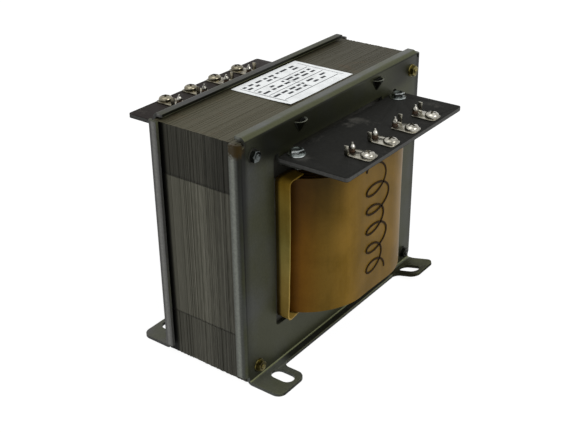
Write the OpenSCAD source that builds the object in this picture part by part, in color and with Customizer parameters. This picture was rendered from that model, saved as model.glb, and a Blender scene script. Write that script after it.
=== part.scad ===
// Open-frame control transformer: a laminated E-I core clamped between two bent steel
// end frames with feet, one coil on the centre leg and a terminal board at each end.
// X runs through the stack with the front at +X, Y along the laminations and Z up.
// The origin is on the mounting face, under the middle of the core.

/* [Core] */
// Width of the centre leg
tongue_w = 54; // [44:0.5:70]
// Width of each outer leg
leg_w = 27; // [22:0.5:36]
// Width of each winding window
window_w = 27; // [22:0.5:36]
// Height of the winding windows
window_h = 81; // [65:0.5:110]
// Height of the yokes over and under the windows
yoke_h = 27; // [22:0.5:36]
// Thickness of the stack
stack_t = 54; // [36:0.5:90]
// Packets of laminations, turned end for end in turn
packets = 5; // [3:2:15]
// Air gap between each E and its I
joint_gap = 0.1; // [0.05:0.05:0.4]
// Height of the core over the mounting face
core_lift = 1.2; // [0.5:0.1:4]

/* [End frames] */
// Thickness of the steel sheet
sheet_t = 1.9; // [1.2:0.1:3]
// Inside radius of the bends at the feet and the board tabs
bend_r = 1; // [0.5:0.1:2]
// Gap between the flanges and the core, which is also their inside bend radius
flange_gap = 1; // [0.5:0.1:2]
// Width of the flanges from the outer face of the plate
flange_w = 6.3; // [5:0.1:14]
// Radius of the bend relief at each top corner
relief_r = 2; // [1.5:0.1:4]
// Height of the side flanges' tops over the top of the core
side_flange_rise = 0.5; // [-2:0.1:1]
// Height of the relief under each side flange
flange_foot_gap = 2; // [1:0.1:5]
// Clearance of the opening beside the winding windows
opening_side = 3.5; // [2.5:0.1:6]
// Clearance of the opening below the winding windows
opening_below = 3.7; // [2:0.1:6]
// Clearance of the opening over the terminal board
opening_over = 1; // [0.5:0.1:3]
// Corner radius of the opening
opening_r = 2; // [0.5:0.1:3]
// Width of the mouths of the lanced pockets near the top edge
pocket_w = 9.4; // [8:0.1:14]
// Reach of the pockets from the outer face of the plate
pocket_out = 3.9; // [2.5:0.1:3.9]
// Height over which the pockets taper into the plate
pocket_h = 6.8; // [5:0.1:8]
// Wall of the pockets, drawn thinner than the sheet
pocket_wall = 1.2; // [0.8:0.1:1.4]
// Distance between the middles of the pockets
pocket_span = 71.8; // [40:0.1:90]
// Depth of the pockets' mouths below the top of the core
pocket_drop = 1.8; // [1.2:0.1:3]
// Gap that the shear leaves over the pockets' mouths
pocket_gap = 0.4; // [0.2:0.1:0.8]

/* [Feet] */
// Reach of the ears from the outer face of the plate
foot_out = 19.8; // [19:0.1:30]
// Reach of the strip between the ears
foot_strip = 4.4; // [3:0.1:7]
// Length of each ear along the frame
ear_w = 22.8; // [21:0.1:30]
// Reach of the feet past each end of the core
foot_over = 0; // [0:0.1:2]
// Radius of the ears' outer corners
ear_r = 5; // [2:0.1:7]
// Radius of the notch between ear and strip
notch_r = 4; // [1:0.1:7]
// Width of the mounting slots
slot_w = 8; // [5:0.1:10]
// Length of the mounting slots, end to end
slot_len = 13.5; // [11:0.1:14]
// Distance of the slots' middle from the outer face of the plate
slot_out = 10.3; // [9.8:0.1:12]
// Distance of the slots' middle from the outer edge of the ear
slot_edge = 14.8; // [11:0.1:16]

/* [Coil] */
// Clearance between the centre leg and the coil tube
tube_clear = 0.3; // [0.1:0.1:0.8]
// Wall of the coil tube
tube_t = 1.6; // [1:0.1:3]
// Reach of the coil from the face of the core
coil_out = 27; // [18:0.5:34]
// Corner radius of the coil's outside
coil_corner_r = 36.5; // [20:0.5:42]
// Thickness of the outer paper wrap
wrap_t = 1; // [0.4:0.1:2]
// Reach of the wrap past each end of the winding
wrap_over = 2.5; // [1:0.1:5]
// Clearance between the wrap and the window liners
coil_clear = 2.3; // [0.5:0.1:3]
// Clearance between the ends of the wrap and the liners
coil_end_clear = 0.3; // [0.1:0.1:1.5]

/* [Window liners] */
// Thickness of the liner paper
liner_t = 0.8; // [0.4:0.1:1.5]
// Clearance between the liner and the core
liner_clear = 0.2; // [0.1:0.1:0.5]
// Reach of the liners past the frames
liner_out = 7.4; // [3:0.1:10]
// Width of the ledges folded over and under the coil
liner_ledge = 12; // [8:0.5:20]
// Outside radius of the liner folds
liner_fold_r = 2.4; // [1.6:0.1:4]

/* [Terminal boards] */
// Thickness of the boards
board_t = 2.6; // [1.6:0.1:4]
// Depth of the boards
board_depth = 40.5; // [32:0.5:50]
// Depth of the boards' top below the top of the core
board_drop = 14.6; // [12:0.1:18]
// Gap between the board and the frame
board_gap = 1.1; // [1:0.1:3]
// Gap between each end of the board and the opening
board_end_gap = 1.5; // [0.5:0.1:4]
// Radius of the boards' corners
board_r = 1.5; // [0.5:0.1:4]
// Width of the frame's tabs under the boards
tab_w = 12; // [9:0.5:14]
// Reach of the tabs from the outer face of the plate
tab_out = 13; // [12:0.5:18]
// Distance of the board screws from the ends of the board
screw_inset = 8.4; // [7:0.1:12]
// Distance of the board screws from the outer face of the plate
screw_out = 6.7; // [5.5:0.1:7.5]

/* [Terminals] */
// Terminals on each board
terminals = 4; // [2:1:4]
// Distance between terminals
terminal_pitch = 20.85; // [16:0.05:24]
// Distance of the terminal screws from the outer edge of the board
terminal_inset = 4.5; // [4.2:0.1:9]
// Width of the terminal plates
terminal_w = 9.6; // [8:0.1:11]
// Reach of the plates outwards from the screw
terminal_nose = 3.6; // [3.4:0.1:4]
// Reach of the plates inwards from the screw
terminal_tail = 9.6; // [8.2:0.1:12]
// Thickness of the terminal plates
terminal_t = 0.8; // [0.5:0.1:1.2]
// Cut across the plates' outer corners
terminal_chamfer = 2.2; // [0.5:0.1:2.5]
// Height of the upright prong
prong_h = 5.5; // [3:0.1:8]
// Width of the upright prong along the plate
prong_w = 2.2; // [1.2:0.1:3]

/* [Leads] */
// Outside diameter of the lead sleeves
lead_d = 3; // [2:0.1:3.4]
// Distance of the leads from the terminals' middle, away from the prongs
lead_side = 0.8; // [0:0.1:1.2]
// Clearance of the sleeves in the boards and terminal notches
lead_clear = 0.3; // [0.1:0.1:0.5]
// Height of the sleeves over the terminal boards
lead_stub = 2.6; // [1.5:0.1:4]
// Height of the solder cone on each lead
solder_h = 3.2; // [2:0.1:5]
// Diameter of the tip of the solder cone
solder_tip_d = 1.2; // [0.8:0.1:1.6]
// Diameter of the wire between the sleeves
wire_d = 1.6; // [1:0.1:1.8]
// Reach of the sleeves from the coil and below the boards
sleeve_out = 2.4; // [2:0.1:3]
// Distance of the lead roots from the front of the coil
lead_root = 10; // [8:0.5:14]

/* [Screws and bolts] */
// Diameter of the terminal and board screws
screw_d = 3.8; // [3:0.1:4.5]
// Clearance of screws and bolts in their holes, on the diameter
hole_clear = 0.5; // [0.2:0.1:0.8]
// Length of the board screws under the terminal boards
screw_tail = 5; // [3:0.5:8]
// Length of the terminal screws under the terminal boards
terminal_screw_tail = 0.8; // [0.2:0.1:4]
// Diameter of the terminal screw heads
pan_d = 7.6; // [6.5:0.1:9]
// Height of the terminal screw heads
pan_h = 2.8; // [2:0.1:3.6]
// Height of the terminal screw heads' straight edge
pan_edge_h = 0.9; // [0.4:0.1:1.4]
// Length of the cross slots
cross_l = 4.2; // [3:0.1:5]
// Width of the cross slots
cross_w = 1.1; // [0.6:0.1:1.4]
// Depth of the cross slots
cross_depth = 1.4; // [0.6:0.1:1.8]
// Width of the board screws' hexagon across flats
hex_af = 6.35; // [5:0.05:8]
// Height of the board screws' hexagon
hex_h = 2.1; // [2:0.1:4]
// Diameter of the board screws' washer face
flange_d = 9.4; // [8:0.1:11]
// Thickness of the board screws' washer face
flange_t = 0.9; // [0.5:0.1:1.4]
// Diameter of the core bolts
bolt_d = 3; // [2.5:0.1:3.5]
// Distance of the core bolts from the edges of the core
bolt_edge = 7.6; // [7:0.1:10]
// Width of the bolt heads and nuts across flats
nut_af = 5.5; // [5:0.05:6.3]
// Height of the bolt heads and nuts
nut_h = 2.2; // [1.8:0.1:3.5]
// Clearance of the nut on the thread, on the diameter
nut_clear = 0.1; // [0.05:0.05:0.3]
// Length of thread past the nut
bolt_end = 0.6; // [0.5:0.1:5]
// Diameter of the washers
washer_d = 7.4; // [7.3:0.1:9.5]
// Thickness of the washers
washer_t = 0.7; // [0.5:0.1:1.6]

/* [Label] */
// Length of the label along the laminations
label_l = 57; // [30:1:80]
// Width of the label across the stack
label_w = 39; // [20:1:42]
// Distance of the label's middle from the front edge of the rear flange
label_from_flange = 19.9; // [10:0.1:22]
// Distance of the label's middle from the middle of the core
label_side = 1.5; // [-20:0.5:20]
// Thickness of the label
label_t = 0.2; // [0.1:0.05:0.4]

/* [Hidden] */
$fn = 64;
core_w = tongue_w + 2 * window_w + 2 * leg_w;
core_h = window_h + 2 * yoke_h;
core_top = core_lift + core_h;
packet_t = stack_t / packets;
plate_x = stack_t / 2;
face_x = plate_x + sheet_t;
window_y = tongue_w / 2 + window_w;
window_z0 = core_lift + yoke_h;
window_z1 = window_z0 + window_h;

// Bolt places, seen from the front: left is at -Y
bolt_y = core_w / 2 - bolt_edge;
bolt_low = core_lift + bolt_edge;
bolt_high = core_top - bolt_edge;

// Terminal board and what is tied to it
board_top = core_top - board_drop;
board_low = board_top - board_t;
board_x = face_x + board_gap;
opening_half = window_y + opening_side;
opening_low = window_z0 - opening_below;
opening_high = board_top + opening_over;
board_half = opening_half - board_end_gap;
screw_y = board_half - screw_inset;
screw_x = face_x + screw_out;
terminal_x = board_x + board_depth - terminal_inset;
lead_x = terminal_x - terminal_tail;
screw_hole_d = screw_d + hole_clear;

// Coil
tube_x = stack_t / 2 + tube_clear;
tube_y = tongue_w / 2 + tube_clear;
liner_y = window_y - liner_clear;
coil_x = stack_t / 2 + coil_out;
coil_y = liner_y - liner_t - coil_clear;
coil_z0 = window_z0 + liner_clear + liner_t + coil_end_clear;
coil_z1 = window_z1 - liner_clear - liner_t - coil_end_clear;
coil_r = min(coil_corner_r, coil_x - wrap_t, coil_y - wrap_t);
liner_x = face_x + liner_out;
lead_root_x = coil_x - lead_root;

// Lanced pockets: half cones whose axis lies behind the face, so that the mouth has its width and reach
pocket_axis = (pow(pocket_w / 2, 2) - pow(pocket_out, 2)) / (2 * pocket_out);
pocket_r = pocket_axis + pocket_out;
pocket_mouth = core_top - pocket_drop;
pocket_slope = pocket_out / pocket_h;

// Feet
foot_half = core_w / 2 + foot_over;
foot_bend = sheet_t + bend_r;
ear_y = foot_half - ear_w;

// Core bolts reach from a head behind the rear washer to past the front nut
bolt_face = face_x + washer_t;

ENDS = ["front", "rear"];
SIDES = ["left", "right"];
LEVELS = ["lower", "upper"];

// The rear end is the front end turned about Z
function turn(end) = end == "front" ? 0 : 180;
function side_sign(side) = side == "left" ? -1 : 1;
function bolt_z(level) = level == "lower" ? bolt_low : bolt_high;
function terminal_y(i) = (i - (terminals + 1) / 2) * terminal_pitch;
// The prong is on the outer side of each terminal and the lead towards the inner side
function prong_sign(i) = terminal_y(i) < 0 ? -1 : 1;
function lead_y(i) = terminal_y(i) - prong_sign(i) * lead_side;

// Stands a drawing of Y and Z up and gives it a thickness along X
module upright(from_x, to_x) {
    translate([from_x, 0, 0]) rotate([90, 0, 90]) linear_extrude(to_x - from_x) children();
}

// Stands a drawing of X and Z up and gives it a length along Y
module along_y(from_y, to_y) {
    translate([0, to_y, 0]) rotate([90, 0, 0]) linear_extrude(to_y - from_y) children();
}

module rounded_rect(x0, y0, x1, y1, r) {
    translate([x0 + r, y0]) square([x1 - x0 - 2 * r, y1 - y0]);
    translate([x0, y0 + r]) square([x1 - x0, y1 - y0 - 2 * r]);
    for (x = [x0 + r, x1 - r], y = [y0 + r, y1 - r]) translate([x, y]) circle(r);
}

// Quarter ring in the corner where both coordinates are positive
module quarter_ring(inner, outer) {
    intersection() {
        difference() {
            circle(outer);
            circle(inner);
        }
        square(outer);
    }
}

module hexagon(af, h) {
    cylinder(d = af / cos(30), h = h, $fn = 6);
}

module bolt_holes(d) {
    for (y = [-bolt_y, bolt_y], z = [bolt_low, bolt_high]) translate([y, z]) circle(d = d);
}

// One E with its yoke on top, in Y and Z
module e_outline() {
    difference() {
        translate([-core_w / 2, core_lift + yoke_h + joint_gap])
            square([core_w, core_h - yoke_h - joint_gap]);
        for (s = [-1, 1]) translate([s * (tongue_w + window_w) / 2 - window_w / 2, core_lift])
            square([window_w, yoke_h + window_h]);
    }
}

// One I under the E
module i_outline() {
    translate([-core_w / 2, core_lift]) square([core_w, yoke_h]);
}

// Turns a drawing of the core upside down
module turned_over() {
    translate([0, 2 * core_lift + core_h]) mirror([0, 1]) children();
}

module packet(i) {
    x = -stack_t / 2 + i * packet_t;
    upright(x, x + packet_t) difference() {
        children();
        bolt_holes(bolt_d + hole_clear);
    }
}

module upright_e_laminations() {
    color("#4a4840") for (i = [0:2:packets - 1]) packet(i) e_outline();
}

module inverted_e_laminations() {
    color("#4a4840") for (i = [1:2:packets - 1]) packet(i) turned_over() e_outline();
}

module lower_i_laminations() {
    color("#4a4840") for (i = [0:2:packets - 1]) packet(i) i_outline();
}

module upper_i_laminations() {
    color("#4a4840") for (i = [1:2:packets - 1]) packet(i) turned_over() i_outline();
}

module centred_rect(half_x, half_y) {
    translate([-half_x, -half_y]) square([2 * half_x, 2 * half_y]);
}

module coil_tube() {
    color("#8a7a50") translate([0, 0, coil_z0]) linear_extrude(coil_z1 - coil_z0) difference() {
        centred_rect(tube_x + tube_t, tube_y + tube_t);
        centred_rect(tube_x, tube_y);
    }
}

module coil_outline(inset) {
    rounded_rect(-coil_x + inset, -coil_y + inset, coil_x - inset, coil_y - inset, coil_r - inset);
}

module coil_winding() {
    color("#7a4a24") translate([0, 0, coil_z0 + wrap_over])
        linear_extrude(coil_z1 - coil_z0 - 2 * wrap_over) difference() {
            coil_outline(wrap_t);
            centred_rect(tube_x + tube_t, tube_y + tube_t);
        }
}

module coil_wrap() {
    color("#77602f") translate([0, 0, coil_z0]) linear_extrude(coil_z1 - coil_z0) difference() {
        coil_outline(0);
        coil_outline(wrap_t);
    }
}

// Folded paper channel that lines the outer side of one window
module window_liner() {
    z0 = window_z0 + liner_clear;
    z1 = window_z1 - liner_clear;
    fold_y = liner_y - liner_fold_r;
    color("#6a5c30") upright(-liner_x, liner_x) {
        translate([liner_y - liner_t, z0 + liner_fold_r])
            square([liner_t, z1 - z0 - 2 * liner_fold_r]);
        for (z = [z0, z1 - liner_t]) translate([liner_y - liner_ledge, z])
            square([liner_ledge - liner_fold_r, liner_t]);
        translate([fold_y, z1 - liner_fold_r])
            quarter_ring(liner_fold_r - liner_t, liner_fold_r);
        translate([fold_y, z0 + liner_fold_r]) mirror([0, 1])
            quarter_ring(liner_fold_r - liner_t, liner_fold_r);
    }
}

module frame_plate() {
    difference() {
        translate([-core_w / 2, foot_bend]) square([core_w, core_top - foot_bend]);
        rounded_rect(-opening_half, opening_low, opening_half, opening_high, opening_r);
        for (s = [-1, 1]) translate([s * core_w / 2, core_top]) circle(relief_r);
        bolt_holes(bolt_d + hole_clear);
    }
}

// Cone of a pocket, inset by a wall, from a blunt tip up to the mouth or a little over it
module pocket_cone(inset, over) {
    tip_r = 0.3;
    top_r = pocket_r - inset + over * pocket_slope;
    height = (top_r - tip_r) / pocket_slope;
    translate([face_x - pocket_axis, 0, pocket_mouth + over - height])
        cylinder(r1 = tip_r, r2 = top_r, h = height);
}

// Pocket pressed out of the plate, before it is hollowed
module pocket() {
    intersection() {
        pocket_cone(0, 0);
        translate([plate_x, -pocket_w, 0]) cube([sheet_t + 2 * pocket_out, 2 * pocket_w, core_top]);
    }
}

// Section of a flange bent back over the core: the plate's edge runs along the first axis
module flange_section() {
    translate([0, -flange_gap]) quarter_ring(flange_gap, flange_gap + sheet_t);
    translate([flange_gap, sheet_t - flange_w])
        square([sheet_t, flange_w - sheet_t - flange_gap]);
}

module side_flange() {
    low = foot_bend + flange_foot_gap;
    translate([plate_x, core_w / 2, low]) linear_extrude(core_top + side_flange_rise - low)
        mirror([1, -1]) flange_section();
}

module top_flange() {
    half = core_w / 2 - relief_r;
    translate([plate_x, 0, core_top]) along_y(-half, half) mirror([1, -1]) flange_section();
}

// Ears and strip of the feet, seen from above, from the outer face of the plate
module foot_plan() {
    difference() {
        union() {
            translate([bend_r, -foot_half]) square([foot_strip - bend_r, 2 * foot_half]);
            for (s = [0, 1]) mirror([0, s]) {
                translate([bend_r, ear_y]) square([foot_out - ear_r - bend_r, ear_w]);
                translate([bend_r, ear_y + ear_r]) square([foot_out - bend_r, ear_w - 2 * ear_r]);
                for (y = [ear_y + ear_r, foot_half - ear_r])
                    translate([foot_out - ear_r, y]) circle(ear_r);
                translate([foot_strip, ear_y - notch_r]) difference() {
                    square(notch_r);
                    translate([notch_r, 0]) circle(notch_r);
                }
            }
        }
        for (s = [0, 1]) mirror([0, s]) translate([slot_out, foot_half - slot_edge]) {
            straight = slot_len - slot_w;
            translate([-straight / 2, -slot_w / 2]) square([straight, slot_w]);
            for (x = [-straight / 2, straight / 2]) translate([x, 0]) circle(d = slot_w);
        }
    }
}

module feet() {
    translate([face_x, 0, 0]) linear_extrude(sheet_t) foot_plan();
    translate([face_x + bend_r, 0, foot_bend]) along_y(-foot_half, foot_half)
        rotate(180) quarter_ring(bend_r, foot_bend);
}

// Tab that hangs from the top of the opening and carries one end of the board
module board_tab() {
    root = board_low + bend_r;
    difference() {
        union() {
            upright(plate_x, face_x) translate([-tab_w / 2, root])
                square([tab_w, opening_high - root]);
            translate([face_x + bend_r, 0, root]) along_y(-tab_w / 2, tab_w / 2)
                rotate(180) quarter_ring(bend_r, bend_r + sheet_t);
            translate([face_x + bend_r, -tab_w / 2, board_low - sheet_t])
                cube([tab_out - bend_r, tab_w, sheet_t]);
        }
        translate([screw_x, 0, board_low - 2 * sheet_t])
            cylinder(d = screw_hole_d, h = 3 * sheet_t);
    }
}

module end_frame() {
    color("#46463f") {
        difference() {
            union() {
                upright(plate_x, face_x) frame_plate();
                for (s = [-1, 1]) translate([0, s * pocket_span / 2, 0]) pocket();
            }
            for (s = [-1, 1]) translate([0, s * pocket_span / 2, 0]) pocket_cone(pocket_wall, pocket_gap);
        }
        for (s = [0, 1]) mirror([0, s, 0]) {
            side_flange();
            translate([0, screw_y, 0]) board_tab();
        }
        top_flange();
        feet();
    }
}

module terminal_board() {
    color("#2a2a2c") translate([0, 0, board_low]) linear_extrude(board_t) difference() {
        rounded_rect(board_x, -board_half, board_x + board_depth, board_half, board_r);
        for (s = [-1, 1]) translate([screw_x, s * screw_y]) circle(d = screw_hole_d);
        for (i = [1:terminals]) {
            translate([terminal_x, terminal_y(i)]) circle(d = screw_hole_d);
            translate([lead_x, lead_y(i)]) circle(d = lead_d + lead_clear);
        }
    }
}

// Stamped plate with a notch for the lead and a prong bent up from its outer side
module terminal(i) {
    nose = terminal_nose;
    half = terminal_w / 2;
    tail = terminal_tail;
    back = tail + prong_w / 2;
    cut = terminal_chamfer;
    color("#c8c4b0") translate([terminal_x, terminal_y(i), board_top])
        scale([1, prong_sign(i), 1]) {
            linear_extrude(terminal_t) difference() {
                polygon([[-tail, -half], [nose - cut, -half], [nose, cut - half], [nose, half - cut],
                    [nose - cut, half], [-back, half], [-back, -lead_side], [-tail, -lead_side]]);
                circle(d = screw_hole_d);
                translate([-tail, -lead_side]) circle(d = lead_d + 2 * lead_clear);
            }
            translate([-back, half - terminal_t, 0]) cube([prong_w, terminal_t, prong_h]);
        }
}

// Pan head screw with a domed top and a cross recess
module terminal_screw(i) {
    dome_h = pan_h - pan_edge_h;
    dome_r = (pow(pan_d / 2, 2) + pow(dome_h, 2)) / (2 * dome_h);
    tail = terminal_t + board_t + terminal_screw_tail;
    color("#d2cfc0") translate([terminal_x, terminal_y(i), board_top + terminal_t]) {
        difference() {
            rotate_extrude() intersection() {
                translate([0, pan_h - dome_r]) circle(dome_r);
                square([pan_d / 2, pan_h]);
            }
            for (a = [0, 90]) rotate(a) translate([-cross_l / 2, -cross_w / 2, pan_h - cross_depth])
                cube([cross_l, cross_w, 2 * cross_depth]);
        }
        translate([0, 0, -tail]) cylinder(d = screw_d, h = tail);
    }
}

module board_screw() {
    color("#9a9c98") translate([screw_x, 0, board_top]) {
        cylinder(d = flange_d, h = flange_t);
        translate([0, 0, flange_t]) hexagon(hex_af, hex_h);
        tail = board_t + screw_tail;
        translate([0, 0, -tail]) cylinder(d = screw_d, h = tail);
    }
}

// Lead from the top of the coil, forward and up through the board, sleeved at both ends
module lead(i) {
    low = coil_z1 + sleeve_out / 2;
    high = board_low - sleeve_out / 2;
    step = [lead_x - lead_root_x, high - low];
    translate([0, lead_y(i), 0]) {
        color("#4a3420") {
            translate([lead_root_x, 0, coil_z1 - wrap_over])
                cylinder(d = lead_d, h = wrap_over + sleeve_out);
            translate([lead_root_x, 0, low]) rotate([0, atan2(step[0], step[1]), 0])
                cylinder(d = wire_d, h = norm(step));
            translate([lead_x, 0, board_low - sleeve_out])
                cylinder(d = lead_d, h = sleeve_out + board_t + lead_stub);
        }
        color("#c8c8c4") translate([lead_x, 0, board_top + lead_stub])
            cylinder(d1 = lead_d, d2 = solder_tip_d, h = solder_h);
    }
}

module core_bolt() {
    color("#8c8460") rotate([0, 90, 0]) {
        translate([0, 0, -bolt_face - nut_h]) hexagon(nut_af, nut_h);
        translate([0, 0, -bolt_face]) cylinder(d = bolt_d, h = 2 * bolt_face + nut_h + bolt_end);
    }
}

module core_nut() {
    color("#8c8460") translate([bolt_face, 0, 0]) rotate([0, 90, 0]) difference() {
        hexagon(nut_af, nut_h);
        translate([0, 0, -nut_h]) cylinder(d = bolt_d + nut_clear, h = 3 * nut_h);
    }
}

module bolt_washers() {
    color("#6f6a50") for (x = [-bolt_face, face_x]) upright(x, x + washer_t) difference() {
        bolt_holes(washer_d);
        bolt_holes(bolt_d + hole_clear);
    }
}

module label() {
    x = -face_x + flange_w + label_from_flange;
    color("#e6e8e6") translate([x - label_w / 2, label_side - label_l / 2, core_top])
        cube([label_w, label_l, label_t]);
}

upright_e_laminations();
inverted_e_laminations();
upper_i_laminations();
lower_i_laminations();
coil_tube();
coil_winding();
coil_wrap();
bolt_washers();
label();

for (s = SIDES) {
    scale([1, side_sign(s), 1]) window_liner();
}

for (e = ENDS) rotate(turn(e)) {
    end_frame();
    terminal_board();
    for (i = [1:terminals]) lead(i);
    for (i = [1:terminals]) {
        terminal(i);
        terminal_screw(i);
    }
    for (s = SIDES) {
        translate([0, side_sign(s) * screw_y, 0]) board_screw();
    }
}

for (l = LEVELS, s = SIDES) translate([0, side_sign(s) * bolt_y, bolt_z(l)]) {
    core_bolt();
    core_nut();
}
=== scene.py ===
"""Dresses an open-frame control transformer: core, end frames, coil, terminal boards, fasteners and stage."""

import contextlib
import functools
import math
import random

import bmesh
import bpy
from bpy.props import FloatProperty, FloatVectorProperty, IntProperty, PointerProperty
from mathutils import Matrix, Vector, noise


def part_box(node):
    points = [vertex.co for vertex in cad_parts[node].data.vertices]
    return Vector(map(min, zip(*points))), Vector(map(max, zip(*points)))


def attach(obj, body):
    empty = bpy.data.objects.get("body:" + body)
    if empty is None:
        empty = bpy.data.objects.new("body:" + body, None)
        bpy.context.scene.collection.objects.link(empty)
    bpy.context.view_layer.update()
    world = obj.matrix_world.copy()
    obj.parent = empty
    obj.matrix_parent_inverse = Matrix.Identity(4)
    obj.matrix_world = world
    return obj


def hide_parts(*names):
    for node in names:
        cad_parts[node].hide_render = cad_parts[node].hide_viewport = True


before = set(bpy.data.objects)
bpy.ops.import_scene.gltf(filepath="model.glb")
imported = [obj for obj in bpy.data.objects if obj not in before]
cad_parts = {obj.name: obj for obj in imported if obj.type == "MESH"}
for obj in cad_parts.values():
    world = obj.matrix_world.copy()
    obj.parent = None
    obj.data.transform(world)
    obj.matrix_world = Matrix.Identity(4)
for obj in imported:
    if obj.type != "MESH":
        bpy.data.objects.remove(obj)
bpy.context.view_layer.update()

bl_info = {
    "name": "Control transformer",
    "version": (1, 0, 0),
    "blender": (4, 5, 0),
    "location": "View3D > Sidebar > Transformer",
    "description": "Builds the visible pieces, finishes and stage of an open-frame control transformer",
    "category": "Object",
}

MM = 0.001
BODY = "root"
ENDS = ("front", "rear")
SIDES = ("left", "right")
LEVELS = ("lower", "upper")
TERMINALS = (1, 2, 3, 4)
TURN = {"front": Matrix.Identity(4), "rear": Matrix.Rotation(math.pi, 4, "Z")}
LAMINATIONS = (
    "upright_e_laminations", "inverted_e_laminations", "upper_i_laminations", "lower_i_laminations",
)


def middle(node):
    """Middle of a CAD node's box."""
    low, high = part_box(node)
    return (low + high) / 2


# Places and sizes that come from the frame, in metres
CORE_LOW = Vector(map(min, *(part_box(name)[0] for name in LAMINATIONS)))
CORE_HIGH = Vector(map(max, *(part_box(name)[1] for name in LAMINATIONS)))
CORE_SIZE = CORE_HIGH - CORE_LOW
LEG = CORE_SIZE.y / 6
FRAME_LOW, FRAME_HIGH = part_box("front_end_frame")
COIL_LOW, COIL_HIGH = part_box("coil_wrap")
WINDING_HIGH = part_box("coil_winding")[1]
LINER_LOW, LINER_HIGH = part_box("right_window_liner")
BOARD_LOW, BOARD_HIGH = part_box("front_terminal_board")
LABEL_LOW, LABEL_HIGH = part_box("label")
NUT_LOW, NUT_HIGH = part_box("upper_left_core_nut")

# Sheet of the end frames, and the front face of the front one
SHEET = 1.9 * MM
FACE_X = CORE_HIGH.x + SHEET
# Crease and inner end of the bent ear, and the heights that it stays under, flat and bent
EAR_CREASE, EAR_IN = FACE_X + 1.8 * MM, FRAME_HIGH.y - 29 * MM
EAR_FLAT, EAR_BENT = 9 * MM, 15 * MM
# Rounding of the coil's corners, and the paper layers inside its wrap
COIL_CORNER = 36.5 * MM
COIL_LAYERS = 8
# Thread radii of the screws and the core bolts, and the hexagon of the board screws
SCREW_RADIUS, BOLT_RADIUS = 1.9 * MM, 1.5 * MM
HEX_WIDTH = 6.35 * MM
# Slack for picking by place
SLACK = 0.01 * MM
SCREW_SEED, BOLT_SEED, PRINT_SEED = 3, 11, 21


def linear(code):
    """Linear colour of an sRGB hex value."""
    parts = [int(code[i : i + 2], 16) / 255 for i in (1, 3, 5)]
    return tuple(c / 12.92 if c <= 0.04045 else ((c + 0.055) / 1.055) ** 2.4 for c in parts) + (1.0,)


def length(name, description, size_mm):
    """A length property with a default in millimetres."""
    return FloatProperty(name=name, description=description, default=size_mm * MM, unit="LENGTH", precision=5)


def rotation(name, description, degrees):
    """An angle property with a default in degrees."""
    return FloatProperty(name=name, description=description, default=math.radians(degrees), unit="ROTATION")


def number(name, description, value):
    """A plain number property."""
    return FloatProperty(name=name, description=description, default=value)


def colour(name, description, code):
    """A colour property with an sRGB hex default."""
    return FloatVectorProperty(
        name=name, description=description, default=linear(code), size=4, subtype="COLOR", min=0, max=1
    )


class CoreLook(bpy.types.PropertyGroup):
    """Sheets of the laminated core."""

    sheet: length("Sheet", "Thickness of one core sheet, drawn a little coarse so that it shows", 0.6)
    stagger: length("Stagger", "How far the edges of the sheets stand out of line", 0.16)
    joint: length("Joint", "Gap between an E and its I", 0.25)
    seed: IntProperty(name="Seed", description="Start of the random stagger", default=7)
    dark: colour("Dark edge", "Varnished edge of a sheet", "#292820")
    plain: colour("Plain edge", "Usual edge of a sheet", "#504f45")
    bright: colour("Bright edge", "Bare edge of a sheet", "#78766b")
    top: colour("Top", "Varnish on the top of the stack", "#5b5640")
    rust: colour("Rust", "Rusty stains on the top", "#5a4228")


class FrameLook(bpy.types.PropertyGroup):
    """Pressed end frames."""

    edge: length("Edge", "Rounding of the sheared edges", 0.22)
    ear_lift: rotation("Ear lift", "Bend of the damaged front ear", 13.5)
    grey: colour("Grey", "Oxide of the sheet steel", "#4d4f4a")
    blue: colour("Blue", "Cleaner oxide of the rear frame", "#4b4b49")
    olive: colour("Olive", "Oily patches on the steel", "#484a35")
    pale_edge: colour("Pale edge", "Lighter steel on the rounded edges", "#7c7b70")
    stain: colour("Stain", "Varnish stain at the left corner", "#2f2306")
    darkened: colour("Darkened", "Darker, duller steel on the bent ear", "#2c2b20")


class CoilLook(bpy.types.PropertyGroup):
    """Paper of the coil and the window liners."""

    paper: length("Paper", "Thickness of the outer wrap", 0.5)
    lap: length("Lap", "Overlap of the outer wrap at the rear", 16)
    ripple: length("Ripple", "Unevenness of the wrap", 0.35)
    liner: length("Liner", "Thickness of the liner paper", 0.8)
    mitre: length("Mitre", "Cut back of the liner ledges over and under the coil", 0.8)
    flare: length("Flare", "How far the free ends of the liners spread past a straight channel", 0.2)
    taper: length("Taper", "How much less the liners stand out at the bottom", 1.6)
    kraft: colour("Kraft", "Varnished kraft paper", "#866726")
    kraft_dark: colour("Dark kraft", "Soaked patches of the kraft paper", "#705514")
    shaded: colour("Shaded", "Tint of the kraft paper on the side that is always in the shade", "#866306")
    fish_paper: colour("Fish paper", "Varnished liner paper", "#97874c")
    fish_dark: colour("Dark fish paper", "Soaked patches of the liner paper", "#7d6b33")
    ink: colour("Ink", "Marker ink", "#241703")


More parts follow.
